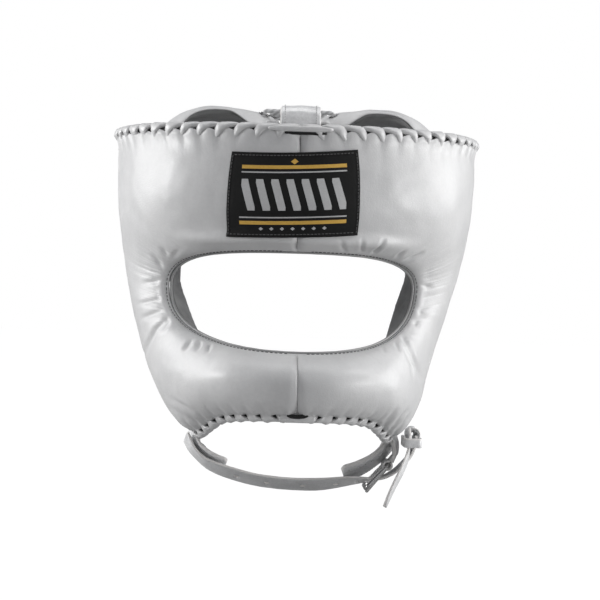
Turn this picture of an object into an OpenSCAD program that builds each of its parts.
// Boxing headguard with a padded face bar, laced rims, crown flaps and a buckled chin strap.
// Millimetres. X to the right, Y from front to back, Z up.
// The origin is the centre of the wearer's head, at eye level.

/* [Wearer's head] */
// Half width inside the shell at eye level
eye_half_w = 73; // [68:0.5:80]
// Half width inside the shell at the jaw
jaw_half_w = 49; // [45:0.5:54]
// Half width inside the shell at the rim
rim_half_w = 88; // [82:0.5:94]
// Length inside the shell, from the forehead to the back of the head
head_l = 198; // [188:1:208]
// How far the face bar's lining stands in front of the forehead's
bar_step = 18; // [13:0.5:24]

/* [Shell outline] */
// Height of the top rim above eye level
rim_z = 99.5; // [94:0.5:106]
// Height of the top edge of the eye opening
brow_z = 29.5; // [24:0.5:34]
// Depth of the face bar's top edge below eye level
bar_top_z = 32.5; // [28:0.5:36]
// Depth of the face bar's bottom edge at the middle
bar_low_z = 68; // [64:0.5:73]
// Depth of the shell's lowest corner below eye level
jaw_low_z = 84; // [80:0.5:90]
// Turn from the front to the side corner of the eye opening, in degrees
eye_turn = 57; // [52:0.5:62]
// Turn from the front to the rear edge of the forehead band, in degrees
rear_turn = 133; // [128:0.5:138]

/* [Padding] */
// Forehead padding at the middle
brow_pad = 25; // [20:0.5:30]
// Forehead padding at the temples
temple_pad = 36; // [30:0.5:40]
// Cheek padding
cheek_pad = 32; // [27:0.5:36]
// Padding of the face bar
bar_pad = 38; // [34:0.5:43]
// Thickness of the rear panels at their middle
rear_pad = 12; // [10:0.5:16]

/* [Leather] */
// Thickness of the outer leather
leather_t = 1.4; // [1:0.1:2]
// Thickness of the lining leather
lining_t = 1.2; // [0.8:0.1:1.6]
// Clearance between neighbouring pieces
gap = 0.3; // [0.2:0.05:0.4]
// Radius of the piping round the eye opening
piping_r = 1.6; // [1.2:0.1:2]
// Radius of the welt along the laced rims
welt_r = 2.2; // [1.8:0.1:2.6]
// Thickness of the flat lace
lace_t = 1.3; // [1:0.1:1.6]
// Width of the flat lace
lace_w = 8; // [6:0.5:9]
// Wraps of lace on each half of the top rim
top_wraps = 20; // [16:1:26]
// Wraps of lace on each half of the bottom edge
low_wraps = 10; // [8:1:13]
// Diameter of the stiff core of the face bar
core_d = 9; // [7:0.5:10]

/* [Label] */
// Width of the label
label_w = 77; // [60:1:84]
// Height of the label
label_h = 52; // [40:1:56]
// Height of the label's middle above eye level
label_z = 64; // [60:0.5:68]
// Thickness of the label
label_t = 0.8; // [0.6:0.1:1.2]

/* [Crown] */
// Rise of the crown flaps above the top rim
crown_rise = 18.5; // [16:0.5:26]
// Half of the space between the two crown flaps
crown_half_gap = 12; // [9:0.5:16]
// Thickness of a crown flap's leather
flap_t = 1.8; // [1.4:0.1:2.2]
// Thickness of a crown flap's lining
flap_lining_t = 2.4; // [1.6:0.1:3]
// Width of the front loop strap
loop_w = 24; // [18:1:28]
// Thickness of the front loop strap
loop_t = 3; // [2:0.1:4]
// Diameter of the crown lace
crown_lace_d = 3; // [2:0.1:4]

/* [Chin strap] */
// Width of the chin strap
strap_w = 20; // [16:0.5:22]
// Thickness of the chin strap
strap_t = 2.2; // [1.8:0.1:2.4]
// Width of the chin tabs
tab_w = 27; // [22:0.5:30]
// Thickness of the left chin tab
left_tab_t = 3; // [2:0.1:3.4]
// Thickness of the padded right chin tab
right_tab_t = 5; // [4:0.1:5.6]
// Lowest point of the chin strap below eye level
chin_z = 117.8; // [115:0.2:124]
// Diameter of the punched holes
punch_d = 3.6; // [3:0.1:4]

/* [Buckle] */
// Diameter of the buckle wire
wire_d = 2.8; // [2.2:0.1:3]
// Length of the buckle frame between its two bars
frame_l = 20; // [18:0.5:22]
// Diameter of the buckle tongue
tongue_d = 2.2; // [1.8:0.1:2.4]
// Thickness of the leather loop that holds the buckle
chape_t = 1.7; // [1.4:0.1:2]

/* [Closure] */
// Width of the closure strap at the back
closure_w = 38; // [30:1:42]
// Thickness of the closure strap
closure_t = 2; // [1.6:0.1:2.6]
// Thickness of each hook or loop pad
hook_t = 1; // [0.8:0.1:1.4]

/* [Hidden] */
$fn = 32;
eps = 0.01;

silver = "gainsboro";
dark_grey = "dimgray";
foam_grey = "lightslategray";

function unit(v) = v / norm(v);
function mix(a, b, u) = a + (b - a) * u;

// Slope of a curve through [x, value] points at point k
function slope(p, k) =
    let (n = len(p) - 1, a = max(k - 1, 0), b = min(k + 1, n))
    (p[b][1] - p[a][1]) / (p[b][0] - p[a][0]);

// Smooth curve through [x, value] points
function smooth(p, x) =
    let (n = len(p) - 1)
    x <= p[0][0] ? p[0][1] :
    x >= p[n][0] ? p[n][1] :
    let (
        i = max([for (k = [0:n - 1]) if (p[k][0] <= x) k]),
        h = p[i + 1][0] - p[i][0],
        u = (x - p[i][0]) / h
    )
    (2 * u ^ 3 - 3 * u ^ 2 + 1) * p[i][1] + (u ^ 3 - 2 * u ^ 2 + u) * h * slope(p, i)
    + (-2 * u ^ 3 + 3 * u ^ 2) * p[i + 1][1] + (u ^ 3 - u ^ 2) * h * slope(p, i + 1);

// Smooth curve through 3D points at u from 0 to 1
function along(p, u) =
    let (n = len(p) - 1)
    [for (c = [0:2]) smooth([for (k = [0:n]) [k / n, p[k][c]]], u)];

brow_in = head_l / 2 - 1;
back_in = head_l / 2 + 1;
bar_in = brow_in + bar_step;
crown_z = rim_z + crown_rise;

// Half width and front reach of the wearer's side of the shell at each height
half_widths = [
    [-95, jaw_half_w], [-75, jaw_half_w + 5], [-50, jaw_half_w + 11.5], [-25, eye_half_w - 6],
    [0, eye_half_w], [30, eye_half_w + 5], [60, rim_half_w - 8], [85, rim_half_w - 4], [110, rim_half_w]
];
front_reaches = [
    [-95, bar_in - 8], [-75, bar_in - 3], [-50, bar_in], [-30, bar_in - 2],
    [0, (bar_in + brow_in) / 2 - 1], [27, brow_in + 1], [60, brow_in], [110, brow_in - 1]
];

// The outer edge of one half, from the front middle of the rim round to the front middle
// of the bottom edge: turn from the front in degrees, height
edge_points = [
    [0, rim_z], [38, rim_z + 1], [76, rim_z + 2], [rear_turn - 21, rim_z + 2],
    [rear_turn - 1, rim_z - 10], [rear_turn, rim_z - 44], [rear_turn - 13, rim_z - 72],
    [103, 6], [97, -28], [86, 26 - jaw_low_z], [62, -jaw_low_z], [30, -bar_low_z - 3], [0, -bar_low_z]
];
edge_n = len(edge_points) - 1;
edge_turns = [for (k = [0:edge_n]) [k / edge_n, edge_points[k][0]]];
edge_heights = [for (k = [0:edge_n]) [k / edge_n, edge_points[k][1]]];

// The pads' offsets from the wearer's side at the eye seam, at their crown and at the outer
// edge, by the share of the way round from the front middle of the rim
seam_offsets = [[0, 9], [0.25, 13], [0.5, 17], [0.75, 17], [1, 12]];
crown_offsets = [
    [0, brow_pad], [0.1, brow_pad + 3], [0.2, temple_pad - 3], [0.3, temple_pad],
    [0.45, temple_pad - 2], [0.6, cheek_pad], [0.75, cheek_pad], [0.85, cheek_pad + 2], [1, bar_pad]
];
edge_offsets = [
    [0, brow_pad - 3], [0.2, temple_pad - 5], [0.28, temple_pad - 2], [0.36, 11], [0.45, 9],
    [0.5, 11], [0.7, 14], [0.8, 16], [0.9, 20], [1, bar_pad - 14]
];
eye_mid_z = 4;
// How round the eye opening is above and below its middle height
eye_top_power = 3;
eye_low_power = 2.2;
// How full the pads' edges are
pad_power = 2.2;
// Mean length from the eye seam to the outer edge
web_l = 90;
edge_leather = leather_t + lining_t + gap;

function eye_point(t) =
    let (
        c = cos(90 - 180 * t),
        s = sin(90 - 180 * t),
        p = s > 0 ? eye_top_power : eye_low_power,
        reach = s > 0 ? brow_z - eye_mid_z : bar_top_z + eye_mid_z
    )
    [eye_turn * abs(c) ^ (2 / p), eye_mid_z + reach * sign(s) * abs(s) ^ (2 / p)];

function edge_point(t) = [min(smooth(edge_turns, t), rear_turn), smooth(edge_heights, t)];

// Turn and height at share t round the shell and share r from the eye seam to the edge
function turn_height(t, r) = mix(eye_point(t), edge_point(t), r);

function reach_at(turn, z) = turn > 90 ? back_in : smooth(front_reaches, z);

// The point at a turn and height, and at an offset from the wearer's side
function head_point(turn, z, offset) =
    let (
        w = smooth(half_widths, z),
        f = reach_at(turn, z),
        n = unit([sin(turn) / w, -cos(turn) / f])
    )
    [w * sin(turn) + n[0] * offset, -f * cos(turn) + n[1] * offset, z];

function full(u) = let (v = min(max(u, 0), 1)) (1 - (1 - v) ^ pad_power) ^ (1 / pad_power);

// Offset of the outer skin, drawn in by inset
function pad_offset(t, r, inset) =
    let (
        s = smooth(seam_offsets, t) - inset,
        c = smooth(crown_offsets, t) - inset,
        e = smooth(edge_offsets, t) - inset,
        d = inset / web_l
    )
    r < 0.5 ? s + (c - s) * full((r - d) / (0.5 - d))
            : e + (c - e) * full((1 - r - d) / (0.5 - d));

function ease(u) = let (v = min(max(u, 0), 1)) v * v * (3 - 2 * v);

// Offset of the lining's wearer side, which meets the outer leather at both edges
function lining_offset(t, r) =
    let (s = smooth(seam_offsets, t) - edge_leather, e = smooth(edge_offsets, t) - edge_leather)
    s * (1 - ease(r / 0.35)) + e * ease((r - 0.65) / 0.35);

function shell_point(t, r, offset) =
    let (p = turn_height(t, r)) head_point(p[0], p[1], offset);

// Shares r from seam to edge, closer together at both ends
function spread(n) = [for (j = [0:n]) 0.5 - 0.5 * cos(180 * j / n)];

// Triangles of a closed wall between two grids of u rows and v points
function wall_faces(u, v) =
    let (
        n = u * v,
        quads = concat(
            [for (i = [0:u - 2], j = [0:v - 2])
                [i * v + j, i * v + j + 1, (i + 1) * v + j + 1, (i + 1) * v + j]],
            [for (i = [0:u - 2], j = [0:v - 2])
                [n + i * v + j, n + (i + 1) * v + j, n + (i + 1) * v + j + 1, n + i * v + j + 1]],
            [for (i = [0:u - 2]) [i * v, (i + 1) * v, n + (i + 1) * v, n + i * v]],
            [for (i = [0:u - 2])
                [(i + 1) * v + v - 1, i * v + v - 1, n + i * v + v - 1, n + (i + 1) * v + v - 1]],
            [for (j = [0:v - 2]) [j + 1, j, n + j, n + j + 1]],
            [for (j = [0:v - 2])
                [(u - 1) * v + j, (u - 1) * v + j + 1, n + (u - 1) * v + j + 1, n + (u - 1) * v + j]]
        )
    )
    [for (q = quads) each [[q[0], q[1], q[2]], [q[0], q[2], q[3]]]];

module wall(outside, inside) {
    u = len(outside);
    v = len(outside[0]);
    polyhedron(
        [for (row = outside) each row, for (row = inside) each row],
        wall_faces(u, v)
    );
}

// Closed tube through rings that turn anticlockwise about the way they run
module tube(rings, closed = false) {
    k = len(rings);
    m = len(rings[0]);
    last = closed ? k - 1 : k - 2;
    sides = [for (i = [0:last], s = [0:m - 1])
        let (a = i * m, b = ((i + 1) % k) * m, q = (s + 1) % m)
        each [[a + s, b + s, b + q], [a + s, b + q, a + q]]];
    caps = closed ? [] : [for (s = [1:m - 2])
        each [[0, s, s + 1], [(k - 1) * m, (k - 1) * m + s + 1, (k - 1) * m + s]]];
    polyhedron([for (ring = rings) each ring], concat(sides, caps));
}

function way(p, k) = unit(p[min(k + 1, len(p) - 1)] - p[max(k - 1, 0)]);

// Rings of a round cord along points p, with m sides
function cord_rings(p, side, r, m) = [for (k = [0:len(p) - 1])
    let (d = way(p, k), a = unit(side[k] - d * (side[k] * d)), b = cross(d, a))
    [for (s = [0:m - 1]) p[k] + r * (a * cos(360 * s / m) + b * sin(360 * s / m))]];

// Rings of a flat band along points p, w wide at each point
function band_rings(p, side, w, t) = [for (k = [0:len(p) - 1])
    let (d = way(p, k), a = unit(side[k] - d * (side[k] * d)), b = cross(d, a))
    [for (c = [[1, 1], [-1, 1], [-1, -1], [1, -1]]) p[k] + a * c[0] * w[k] / 2 + b * c[1] * t / 2]];

// Shares t and r where a half of the shell has this turn and height, t between lo and hi
function share_at(turn, z, lo, hi, k = 16) =
    let (
        m = (lo + hi) / 2,
        e = eye_point(m),
        g = edge_point(m),
        r = (z - e[1]) / (g[1] - e[1])
    )
    k == 0 ? [m, r] :
    mix(e[0], g[0], r) < turn ? share_at(turn, z, m, hi, k - 1) : share_at(turn, z, lo, m, k - 1);

function flip(p) = [-p[0], p[1], p[2]];

// Rows of the right half that end at its centre seam, with the same rows of the left half after
function both(rows) = concat(rows, [for (k = [len(rows) - 2:-1:0]) [for (p = rows[k]) flip(p)]]);

// Turns local X, Y, Z to the three directions given and moves the origin to p
module place(p, x, y, z) {
    multmatrix([
        [x[0], y[0], z[0], p[0]],
        [x[1], y[1], z[1], p[1]],
        [x[2], y[2], z[2], p[2]],
        [0, 0, 0, 1]
    ]) children();
}

// Outer leather: one half, from the centre seam above the eyes to the one on the face bar
seam_gap = 0.2;
half_ts = [for (i = [0:30]) i / 30];

// The right half, with its part of the gap at the centre seam
module right_half() {
    translate([seam_gap / 2, 0, 0]) children();
}

module left_half() {
    mirror([1, 0, 0]) right_half() children();
}

module outer_cover() {
    color(silver)
    wall(
        [for (t = half_ts) [for (r = spread(12)) shell_point(t, r, pad_offset(t, r, 0))]],
        [for (t = half_ts) [for (r = spread(12)) shell_point(t, r, pad_offset(t, r, leather_t))]]
    );
}

module outer_cover_left() {
    left_half() outer_cover();
}

module outer_cover_right() {
    right_half() outer_cover();
}

// Lining leather: one half of the wearer's side
module lining() {
    color(dark_grey)
    wall(
        [for (t = half_ts) [for (r = spread(12)) shell_point(t, r, lining_offset(t, r) + lining_t)]],
        [for (t = half_ts) [for (r = spread(12)) shell_point(t, r, lining_offset(t, r))]]
    );
}

module lining_left() {
    left_half() lining();
}

module lining_right() {
    right_half() lining();
}

// Foam between the outer leather and the lining, in three pieces on the leather's own rows
foam_rs = [for (j = [2:10]) spread(12)[j]];
forehead_row = 10;
cheek_row = 22;
foam_room = 0.5;
// Share of the way round between two pieces of foam
foam_step = 0.003;

function foam_ts(a, b) = [for (k = [a:b]) half_ts[k] + (k == a && a > 0 ? foam_step : 0)];
function foam_top(ts) = [for (t = ts) [for (r = foam_rs)
    shell_point(t, r, pad_offset(t, r, leather_t + foam_room))]];
function foam_floor(t, r) = lining_offset(t, r) + lining_t + foam_room;

module foam(a, b) {
    ts = foam_ts(a, b);
    color(foam_grey)
    wall(foam_top(ts), [for (t = ts) [for (r = foam_rs) shell_point(t, r, foam_floor(t, r))]]);
}

module forehead_foam_left() {
    left_half() foam(0, forehead_row);
}

module forehead_foam_right() {
    right_half() foam(0, forehead_row);
}

module cheek_foam_left() {
    left_half() foam(forehead_row, cheek_row);
}

module cheek_foam_right() {
    right_half() foam(forehead_row, cheek_row);
}

// Foam of the face bar, from cheek to cheek, hollowed on the wearer's side for the core
bar_ts = foam_ts(cheek_row, len(half_ts) - 1);
core_room = core_d + gap;
core_start = 0.76;
function core_rise(r) = core_room * ease((r - 0.2) / 0.15) * ease((0.8 - r) / 0.15);

module bar_foam() {
    color(foam_grey)
    wall(
        both(foam_top(bar_ts)),
        both([for (t = bar_ts) [for (r = foam_rs) shell_point(t, r, foam_floor(t, r) + core_rise(r))]])
    );
}

// Stiff core of the face bar, between its foam and its lining
module face_bar_core() {
    ts = [for (i = [0:11]) mix(core_start, 1, i / 11)];
    path = both([for (t = ts) [shell_point(t, 0.5, lining_t + gap + core_d / 2)]]);
    points = [for (row = path) row[0]];
    color(dark_grey)
    tube(cord_rings(points, [for (p = points) [0, 0, 1]], core_d / 2, 10));
}

// Piping round the seam of the eye opening
function web(t) = let (s = smooth(seam_offsets, t)) 10 * norm(shell_point(t, 0.1, s) - shell_point(t, 0, s));
piping_gap = 0.65;
function piping_point(t) =
    shell_point(t, -(piping_r + piping_gap) / web(t), smooth(seam_offsets, t) - edge_leather / 2);

module eye_piping() {
    right = [for (i = [0:24]) piping_point(i / 24)];
    left = [for (i = [23:-1:1]) flip(piping_point(i / 24))];
    points = concat(right, left);
    n = len(points);
    rings = [for (k = [0:n - 1])
        let (
            d = unit(points[(k + 1) % n] - points[(k + n - 1) % n]),
            out = unit([points[k][0], points[k][1], 0]),
            a = unit(out - d * (out * d)),
            b = cross(d, a)
        )
        [for (s = [0:5]) points[k] + piping_r * (a * cos(60 * s) + b * sin(60 * s))]];
    color(silver)
    tube(rings, true);
}

// Middle of the joined leather edges at share t, and the directions along and off that edge
function rim_middle(t) = smooth(edge_offsets, t) - edge_leather / 2;
function rim_at(t, r = 1) = let (m = rim_middle(t)) shell_point(t, r, m);
rim_step = 0.004;
function rim_way(t) = unit(rim_at(min(t + rim_step, 1)) - rim_at(max(t - rim_step, 0)));
function rim_off(t) =
    let (d = rim_way(t), u = rim_at(t) - rim_at(t, 0.96))
    unit(u - d * (u * d));
function welt_point(t) = rim_at(t) + rim_off(t) * (welt_r + gap);

module welt(t0, t1, n) {
    ts = [for (i = [0:n]) mix(t0, t1, i / n)];
    points = [for (t = ts) welt_point(t)];
    color(dark_grey)
    tube(cord_rings(points, [for (t = ts) rim_off(t)], welt_r, 6));
}

// One wrap of the flat lace over the welt
wrap_angle = 230;

module wrap(t) {
    d = rim_way(t);
    u = rim_off(t);
    place(welt_point(t), cross(u, d), u, d)
    rotate([0, 0, 90 - wrap_angle / 2])
    rotate_extrude(angle = wrap_angle)
    translate([welt_r + gap, -lace_w / 2])
    square([lace_t, lace_w]);
}

module laced(t0, t1, n) {
    color(silver)
    for (k = [0:n - 1]) wrap(mix(t0, t1, k / (n - 1)));
}

top_start = 0.004;
top_end = 0.288;
low_start = 0.996;
low_end = 0.835;

module rim_welt_left() {
    left_half() welt(top_start, top_end, 26);
}

module rim_welt_right() {
    right_half() welt(top_start, top_end, 26);
}

module top_lace_left() {
    left_half() laced(top_start * 3, top_end - top_start, top_wraps);
}

module top_lace_right() {
    right_half() laced(top_start * 3, top_end - top_start, top_wraps);
}

module low_welt_left() {
    left_half() welt(low_start, low_end, 12);
}

module low_welt_right() {
    right_half() welt(low_start, low_end, 12);
}

low_lace_in = 0.008;

module low_lace_left() {
    left_half() laced(low_start - low_lace_in, low_end + low_lace_in, low_wraps);
}

module low_lace_right() {
    right_half() laced(low_start - low_lace_in, low_end + low_lace_in, low_wraps);
}

// Woven label on the forehead
label_reach = smooth(half_widths, label_z) + brow_pad * brow_in / smooth(half_widths, label_z);

function label_point(x, z, lift) =
    let (turn = asin(abs(x) / label_reach), s = share_at(turn, z, 0, 0.3),
        p = head_point(turn, z, pad_offset(s[0], s[1], 0) + lift))
    [sign(x) * p[0], p[1], p[2]];

module label_patch() {
    xs = [for (i = [0:12]) label_w * (i / 12 - 0.5)];
    zs = [for (j = [0:6]) label_z + label_h * (j / 6 - 0.5)];
    color("black")
    wall(
        [for (x = xs) [for (z = zs) label_point(x, z, gap + label_t)]],
        [for (x = xs) [for (z = zs) label_point(x, z, gap)]]
    );
}

// Crown flaps: each rises from the lining below the rim and runs nearly flat to the middle
flap_root_z = rim_z - 8;
flap_front_turn = 56;
flap_rear_turn = 124;
flap_end_half = 38;
flap_end_round = 13;
flap_seat = flap_t + flap_lining_t - 0.3;
flap_heights = [
    [0, flap_root_z], [0.1, crown_z - 15], [0.26, crown_z - 4], [0.5, crown_z],
    [0.85, crown_z - 1.5], [1, crown_z - 5]
];

function flap_mid(u, v) =
    let (
        turn = mix(flap_front_turn, flap_rear_turn, v),
        s = share_at(turn, flap_root_z, 0, 0.32),
        root = head_point(turn, flap_root_z, lining_offset(s[0], s[1]) - flap_seat),
        w = 2 * v - 1,
        end = [crown_half_gap + flap_end_round * w * w, flap_end_half * w]
    )
    [mix(root[0], end[0], u), mix(root[1], end[1], u), smooth(flap_heights, u)];

function flap_up(u, v) =
    let (d = flap_mid(min(u + 0.02, 1), v) - flap_mid(max(u - 0.02, 0), v))
    unit([d[2], 0, -d[0]]);

function flap_point(u, v, lift) = flap_mid(u, v) + flap_up(u, v) * lift;

flap_us = [for (i = [0:11]) mix(0, 1, (i / 11) ^ 1.3)];
flap_vs = [for (j = [6:-1:0]) j / 6];
function flap_rows(lift) = [for (u = flap_us) [for (v = flap_vs) flap_point(u, v, lift)]];

// Eyelets and lace that draw the two flaps together
eyelet_vs = [0.14, 0.38, 0.62, 0.86];
eyelet_u = 0.92;
eyelet_hole_d = crown_lace_d + 1.2;
eyelet_rim = 1.8;
eyelet_t = 0.8;
flap_top = flap_lining_t + gap + flap_t;

// Puts a piece at a flap's eyelet, with local Z off the flap
module at_eyelet(v) {
    n = flap_up(eyelet_u, v);
    place(flap_point(eyelet_u, v, 0), cross([0, 1, 0], n), [0, 1, 0], n) children();
}

module eyelet_holes() {
    for (v = eyelet_vs)
        at_eyelet(v)
        translate([0, 0, -flap_top])
        cylinder(h = 3 * flap_top, d = eyelet_hole_d);
}

module crown_flap() {
    color(silver)
    difference() {
        wall(flap_rows(flap_top), flap_rows(flap_lining_t + gap));
        eyelet_holes();
    }
}

module crown_lining() {
    color(dark_grey)
    difference() {
        wall(flap_rows(flap_lining_t), flap_rows(0));
        eyelet_holes();
    }
}

module crown_flap_left() {
    left_half() crown_flap();
}

module crown_flap_right() {
    right_half() crown_flap();
}

module crown_lining_left() {
    left_half() crown_lining();
}

module crown_lining_right() {
    right_half() crown_lining();
}

module crown_eyelets() {
    color("silver")
    for (side = [0, 1], v = eyelet_vs)
        mirror([side, 0, 0])
        at_eyelet(v)
        translate([0, 0, flap_top + gap])
        rotate_extrude()
        translate([eyelet_hole_d / 2, 0])
        square([eyelet_rim, eyelet_t]);
}

module rod(a, b, d) {
    l = norm(b - a);
    z = unit(b - a);
    x = unit(cross(z, abs(z[2]) > 0.9 ? [0, 1, 0] : [0, 0, 1]));
    place(a, x, cross(z, x), z) cylinder(h = l, d = d);
}

// Ends of the lace above and below an eyelet; below, it clears the flap's drooping end
lace_drop = 2.8;
lace_knot_d = crown_lace_d + 0.3;
function lace_end(v, side, lift) =
    let (p = flap_point(eyelet_u, v, lift))
    [side * p[0], p[1], p[2]];
function lace_high(v, side) = lace_end(v, side, flap_top + gap + eyelet_t + lace_knot_d / 2 + gap);
function lace_low(v, side) = lace_end(v, side, -crown_lace_d / 2 - lace_drop);

module crown_lace() {
    color(silver)
    union() {
        for (v = eyelet_vs) {
            rod(lace_high(v, -1), lace_high(v, 1), crown_lace_d);
            for (side = [-1, 1]) {
                rod(lace_low(v, side), lace_high(v, side), crown_lace_d);
                translate(lace_high(v, side)) sphere(d = lace_knot_d);
                translate(lace_low(v, side)) sphere(d = lace_knot_d);
            }
        }
        for (k = [0:len(eyelet_vs) - 2])
            rod(lace_low(eyelet_vs[k], -1), lace_low(eyelet_vs[k + 1], 1), crown_lace_d);
    }
}

// Front loop strap: up the lining at the middle of the rim, rolled over and back under the lace
loop_seat = 1.9;
function brow_lining_y(z) =
    let (r = (z - brow_z) / (rim_z - brow_z))
    -(smooth(front_reaches, z) + lining_offset(0, r)) + loop_seat + loop_t / 2;

loop_points = [
    [0, brow_lining_y(rim_z - 14), rim_z - 14], [0, brow_lining_y(rim_z - 7) + 0.6, rim_z - 7],
    [0, -bar_in + 4.6, rim_z + 1.5], [0, -bar_in + 4.2, rim_z + 9], [0, -bar_in + 6, rim_z + 15],
    [0, -bar_in + 13, rim_z + 18.1], [0, -brow_in + 12, rim_z + 16.5],
    [0, -60, crown_z - 12], [0, -34, crown_z - 16.5], [0, 0, crown_z - 17], [0, 30, crown_z - 17]
];

module front_loop_strap() {
    points = [for (i = [0:40]) along(loop_points, i / 40)];
    color(silver)
    tube(band_rings(points, [for (p = points) [1, 0, 0]], [for (p = points) loop_w], loop_t));
}

// Rear panels behind the forehead band
panel_low_z = rim_z - 52;
panel_top_z = rim_z - 8;
panel_in = 2;
panel_start = rear_turn + 0.25;
panel_end = 178.8;
panel_edge = 0.55;
panel_leather_t = leather_t + 0.2;

function plump(u) = full(min(1, 5 * min(u, 1 - u)));
function panel_out(u, v) = panel_in + rear_pad * mix(panel_edge, 1, plump(u) * plump(v));
function panel_point(u, v, offset) =
    head_point(mix(panel_start, panel_end, u), mix(panel_low_z, panel_top_z, v), offset);

panel_us = [for (u = spread(10)) u];
panel_vs = spread(6);

module rear_panel() {
    color(silver)
    wall(
        [for (u = panel_us) [for (v = panel_vs) panel_point(u, v, panel_out(u, v))]],
        [for (u = panel_us) [for (v = panel_vs) panel_point(u, v, panel_out(u, v) - panel_leather_t)]]
    );
}

module rear_pad() {
    color(dark_grey)
    wall(
        [for (u = panel_us) [for (v = panel_vs)
            panel_point(u, v, panel_out(u, v) - panel_leather_t - gap)]],
        [for (u = panel_us) [for (v = panel_vs) panel_point(u, v, panel_in)]]
    );
}

module rear_panel_left() {
    left_half() rear_panel();
}

module rear_panel_right() {
    right_half() rear_panel();
}

module rear_pad_left() {
    left_half() rear_pad();
}

module rear_pad_right() {
    right_half() rear_pad();
}

// Closure strap across the rear panels: its anchor is sewn to the left panel, the rest opens
closure_z = (panel_low_z + panel_top_z) / 2;
panel_face = panel_in + rear_pad;
anchor_from = -24;
closure_hinge = -6;
closure_to = 29;
loop_from = 4;
loop_to = 38;
hinge_gap = 0.25;

// Point at b degrees from the middle of the back, towards the right when positive
function back_point(b, z, offset) =
    let (p = head_point(180 - abs(b), z, offset))
    [sign(b) * p[0], p[1], p[2]];

function closure_lift(b) =
    panel_face + gap + (2 * hook_t + 2 * gap) * ease((b - closure_hinge) / (loop_from - closure_hinge));

module back_patch(b0, b1, n, w, lift, t) {
    bs = [for (i = [0:n]) mix(b0, b1, i / n)];
    zs = [closure_z + w / 2, closure_z, closure_z - w / 2];
    wall(
        [for (b = bs) [for (z = zs) back_point(b, z, lift[0] * closure_lift(b) + lift[1] + t)]],
        [for (b = bs) [for (z = zs) back_point(b, z, lift[0] * closure_lift(b) + lift[1])]]
    );
}

module closure_anchor() {
    color(silver)
    back_patch(anchor_from, closure_hinge - hinge_gap, 4, closure_w, [1, 0], closure_t);
}

module closure_strap() {
    color(silver)
    back_patch(closure_hinge + hinge_gap, closure_to, 12, closure_w, [1, 0], closure_t);
}

module hook_pad() {
    color("black")
    back_patch(loop_from + 2, closure_to - 1, 6, closure_w - 4, [0, panel_face + 2 * gap + hook_t], hook_t);
}

module loop_pad() {
    color("black")
    back_patch(loop_from, loop_to, 8, closure_w - 4, [0, panel_face + gap], hook_t);
}

// Chin tabs: their anchors are sewn inside the lining and the tabs bend below them
anchor_turns = [for (i = [0:4]) mix(64, 79, i / 4)];
anchor_heights = [26 - jaw_low_z - 9, 26 - jaw_low_z + 6];
anchor_t = 2;
anchor_room = 0.9;

module tab_anchor() {
    rows = function (lift) [for (a = anchor_turns) [for (z = anchor_heights)
        let (s = share_at(a, z, 1, 0.6)) head_point(a, z, lining_offset(s[0], s[1]) - anchor_room - lift)]];
    color(silver)
    wall(rows(0), rows(anchor_t));
}

module tab_anchor_left() {
    left_half() tab_anchor();
}

module tab_anchor_right() {
    right_half() tab_anchor();
}

// Where the tabs leave the shell
chin_half_w = jaw_half_w + 8;

right_tab_points = [
    [chin_half_w, -37.5, -69], [chin_half_w + 0.4, -38, -76], [chin_half_w + 2.6, -39.5, -83],
    [chin_half_w + 5.4, -42, -89],
    [chin_half_w + 3.2, -45, -95.4], [chin_half_w - 4.2, -47, -102],
    [chin_half_w - 13.5, -48, -107.2], [chin_half_w - 22.5, -48, -110.5]
];
right_tab_sides = [
    [0.16, 0.98, 0], [0.16, 0.98, 0], [0.25, 0.95, 0], [0.3, 0.93, 0],
    [0.2, 0.97, 0], [0.05, 0.97, -0.14], [0, 0.94, -0.33], [0, 0.92, -0.4]
];
left_tab_points = [
    [-chin_half_w - 0.6, -37.5, -69], [-chin_half_w - 1.2, -38, -76],
    [-chin_half_w - 3.9, -39.5, -83], [-chin_half_w - 5.2, -42, -89],
    [-chin_half_w - 1.6, -45, -95.5], [-chin_half_w + 4.5, -47, -100.5],
    [-chin_half_w + 10.5, -48, -104], [-chin_half_w + 16.5, -48, -106.4]
];
left_tab_sides = [
    [-0.16, 0.98, 0], [-0.16, 0.98, 0], [-0.25, 0.95, 0], [-0.3, 0.93, 0],
    [-0.25, 0.95, -0.1], [-0.1, 0.95, -0.25], [0, 0.93, -0.36], [0, 0.92, -0.4]
];

// Flat band along points, its width a curve of [share along, width]
module band(points, sides, n, widths, t) {
    us = [for (i = [0:n]) i / n];
    tube(band_rings(
        [for (u = us) along(points, u)], [for (u = us) along(sides, u)],
        [for (u = us) smooth(widths, u)], t
    ));
}

function even(w) = [[0, w], [1, w]];
tab_neck_w = 12;
function tab_widths(w) =
    [[0, tab_neck_w], [0.12, tab_neck_w + 4], [0.28, w - 7], [0.42, w - 2], [0.55, strap_w + 1], [1, strap_w]];

module chin_tab_left() {
    color(silver)
    band(left_tab_points, left_tab_sides, 20, tab_widths(tab_w - 3), left_tab_t);
}

module chin_tab_right() {
    color(silver)
    band(right_tab_points, right_tab_sides, 20, tab_widths(tab_w), right_tab_t);
}

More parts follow.
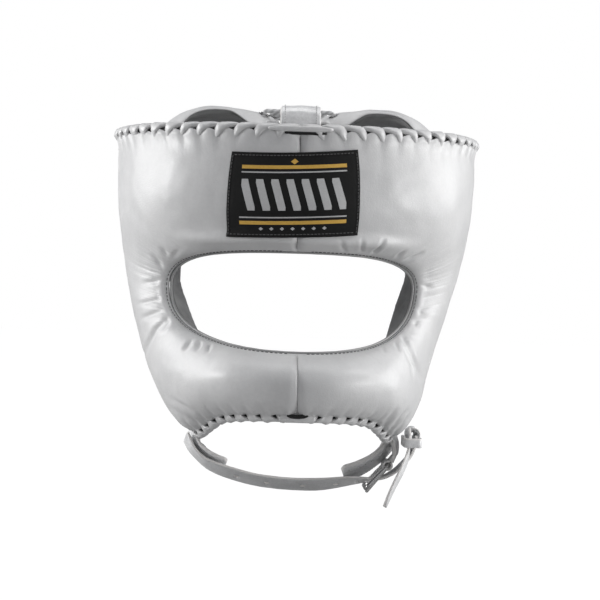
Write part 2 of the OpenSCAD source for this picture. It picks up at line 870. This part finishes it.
// Chin strap: from under the left tab, below the chin, through the buckle and up to the keeper
strap_y = -48;
strap_points = [
    [-chin_half_w - 9.5, -43.5, -90], [-chin_half_w - 5, -46, -98],
    [-chin_half_w + 2, -47.5, -104.8], [-chin_half_w + 10, strap_y, -108.8],
    [-chin_half_w + 21, strap_y, -112.4], [-20, strap_y, -116], [0, strap_y, -chin_z],
    [21, strap_y, -117.4],
    [chin_half_w - 16.4, strap_y, -114.6], [chin_half_w - 0.5, strap_y, -113],
    [chin_half_w + 8.5, strap_y, -109.2],
    [chin_half_w + 14.5, strap_y, -104], [chin_half_w + 20, strap_y, -97.5],
    [chin_half_w + 23, strap_y, -90], [chin_half_w + 23.4, strap_y, -83.5]
];
strap_sides = [
    [-0.25, 0.95, -0.1], [-0.15, 0.95, -0.2], [0, 0.93, -0.34], [0, 0.92, -0.4],
    [0, 0.91, -0.42], [0, 0.91, -0.42], [0, 0.91, -0.42], [0, 0.91, -0.42],
    [0, 0.95, -0.3], [0, 1, -0.08], [0, 1, 0],
    [0, 1, 0], [0, 1, 0], [0, 1, 0], [0, 1, 0]
];
tail_points = [
    [chin_half_w + 19.2, -51, -83.5], [chin_half_w + 19.2, -55, -89],
    [chin_half_w + 17.6, -63, -97], [chin_half_w + 13.7, -69, -106],
    [chin_half_w + 8.5, -72, -116.5], [chin_half_w + 3.5, -73.5, -128.5]
];
tail_sides = [[0, 1, 0], [0.05, 1, -0.1], [0.1, 1, -0.2], [0.15, 1, -0.2], [0.15, 1, -0.15], [0.15, 1, -0.1]];
punch_us = [0.3, 0.38, 0.46, 0.53, 0.59];
tongue_room = 3;

// Buckle: hinge bar, and the directions along and off the frame
buckle_bar = [chin_half_w + 5.6, strap_y, -103.7];
frame_way = unit([-0.68, 0, -0.73]);
frame_off = [-frame_way[2], 0, frame_way[0]];
tongue_end = buckle_bar + frame_way * (frame_l + 1) + frame_off * (wire_d / 2 + tongue_d / 2 + gap);
tongue_start = buckle_bar + frame_way * 2 + frame_off * (wire_d / 2 + 0.2);

module strap_punch(u) {
    p = along(strap_points, u);
    d = unit(along(strap_points, u + 0.01) - along(strap_points, u - 0.01));
    s = along(strap_sides, u);
    a = unit(s - d * (s * d));
    place(p, d, a, cross(d, a)) cylinder(h = strap_t * 4, d = punch_d, center = true);
}

module chin_strap() {
    color(silver)
    difference() {
        union() {
            band(strap_points, strap_sides, 46, even(strap_w), strap_t);
            band(tail_points, tail_sides, 14, even(strap_w - 2), strap_t);
            strap_fold();
        }
        for (u = punch_us) strap_punch(u);
        rod(tongue_start, tongue_end, tongue_d + tongue_room);
    }
}

// Fold of the strap over the top, from the rising stretch to the tail
module strap_fold() {
    top = strap_points[len(strap_points) - 1];
    back = tail_points[0];
    middle = (top + back) / 2;
    reach = (top[0] - back[0]) / 2;
    translate([middle[0], middle[1] - strap_w / 2 + 1.4, middle[2] - eps])
    rotate([-90, 180, 0])
    rotate_extrude(angle = 180)
    translate([reach - strap_t / 2, 0])
    square([strap_t, strap_w - 3]);
}

module chin_rivets() {
    color("silver")
    for (u = [0.5, 0.62]) {
        p = along(left_tab_points, u);
        d = unit(along(left_tab_points, u + 0.01) - along(left_tab_points, u - 0.01));
        s = along(left_tab_sides, u);
        a = unit(s - d * (s * d));
        place(p + cross(d, a) * (left_tab_t / 2 + gap), d, a, cross(d, a)) cylinder(h = 1, d = 6);
    }
}

module buckle_frame() {
    half = strap_w / 2 + 2.4 + wire_d / 2;
    corner = 3;
    color("silver")
    place(buckle_bar, [0, 1, 0], frame_way, cross([0, 1, 0], frame_way))
    union() {
        for (y = [0, frame_l]) translate([-half + corner, y, 0]) rotate([0, 90, 0])
            cylinder(h = 2 * (half - corner), d = wire_d);
        for (x = [-half, half]) translate([x, corner, 0]) rotate([-90, 0, 0])
            cylinder(h = frame_l - 2 * corner, d = wire_d);
        for (c = [[half - corner, frame_l - corner, 0], [-half + corner, frame_l - corner, 90],
            [-half + corner, corner, 180], [half - corner, corner, 270]])
            translate([c[0], c[1], 0]) rotate([0, 0, c[2]])
            rotate_extrude(angle = 90) translate([corner, 0]) circle(d = wire_d);
    }
}

tongue_ring_w = 3;

module buckle_tongue() {
    color("silver")
    union() {
        place(buckle_bar, frame_way, frame_off, [0, 1, 0])
        translate([0, 0, -tongue_ring_w / 2])
        difference() {
            cylinder(h = tongue_ring_w, d = wire_d + 0.4 + 2 * 1.1);
            translate([0, 0, -1]) cylinder(h = tongue_ring_w + 2, d = wire_d + 0.4);
        }
        rod(tongue_start, tongue_end, tongue_d);
        translate(tongue_end) sphere(d = tongue_d);
    }
}

// Leather loop round the hinge bar, in two arms beside the tongue, and its sewn double end
chape_w = 8;
chape_in_r = wire_d / 2 + gap;
chape_points = [
    [chin_half_w + 9.9, strap_y + 3, -88], [chin_half_w + 10.6, strap_y + 1, -93.5],
    [chin_half_w + 9.7, strap_y, -99]
];
chape_sides = [[0.2, 0.98, 0], [0.15, 0.99, 0], [0, 1, 0]];
chape_arm_start = tongue_ring_w / 2 + 0.6;

module buckle_chape() {
    color(silver)
    union() {
        for (y = [chape_arm_start, -chape_arm_start - chape_w])
            translate([buckle_bar[0], buckle_bar[1] + y, buckle_bar[2]])
            rotate([-90, 0, 0])
            rotate_extrude()
            translate([chape_in_r, 0])
            square([chape_t, chape_w]);
        band(
            chape_points, chape_sides, 6,
            even(2 * (chape_arm_start + chape_w)), 2 * chape_t
        );
    }
}

// Keeper: leather ring round both layers of the strap's end
keeper_t = 1.4;
keeper_h = 6;
keeper_low_z = -91;
keeper_front_y = -72;
// Room beside the sloping tail
keeper_room = 2.1;

module keeper_loop() {
    x0 = tail_points[0][0] - strap_t / 2 - keeper_room;
    x1 = strap_points[len(strap_points) - 1][0] + strap_t / 2 + gap;
    y1 = strap_y + strap_w / 2 + gap;
    color(silver)
    difference() {
        translate([x0 - keeper_t, keeper_front_y - keeper_t, keeper_low_z])
        cube([x1 - x0 + 2 * keeper_t, y1 - keeper_front_y + 2 * keeper_t, keeper_h]);
        translate([x0, keeper_front_y, keeper_low_z - 1])
        cube([x1 - x0, y1 - keeper_front_y, keeper_h + 2]);
    }
}

outer_cover_left();
outer_cover_right();
lining_left();
lining_right();
forehead_foam_left();
forehead_foam_right();
cheek_foam_left();
cheek_foam_right();
bar_foam();
face_bar_core();
eye_piping();
rim_welt_left();
rim_welt_right();
top_lace_left();
top_lace_right();
low_welt_left();
low_welt_right();
low_lace_left();
low_lace_right();
label_patch();
crown_flap_left();
crown_flap_right();
crown_lining_left();
crown_lining_right();
crown_lace();
crown_eyelets();
front_loop_strap();
rear_panel_left();
rear_panel_right();
rear_pad_left();
rear_pad_right();
closure_anchor();
closure_strap();
hook_pad();
loop_pad();
tab_anchor_left();
tab_anchor_right();
chin_tab_left();
chin_tab_right();
chin_strap();
chin_rivets();
buckle_chape();
buckle_frame();
buckle_tongue();
keeper_loop();
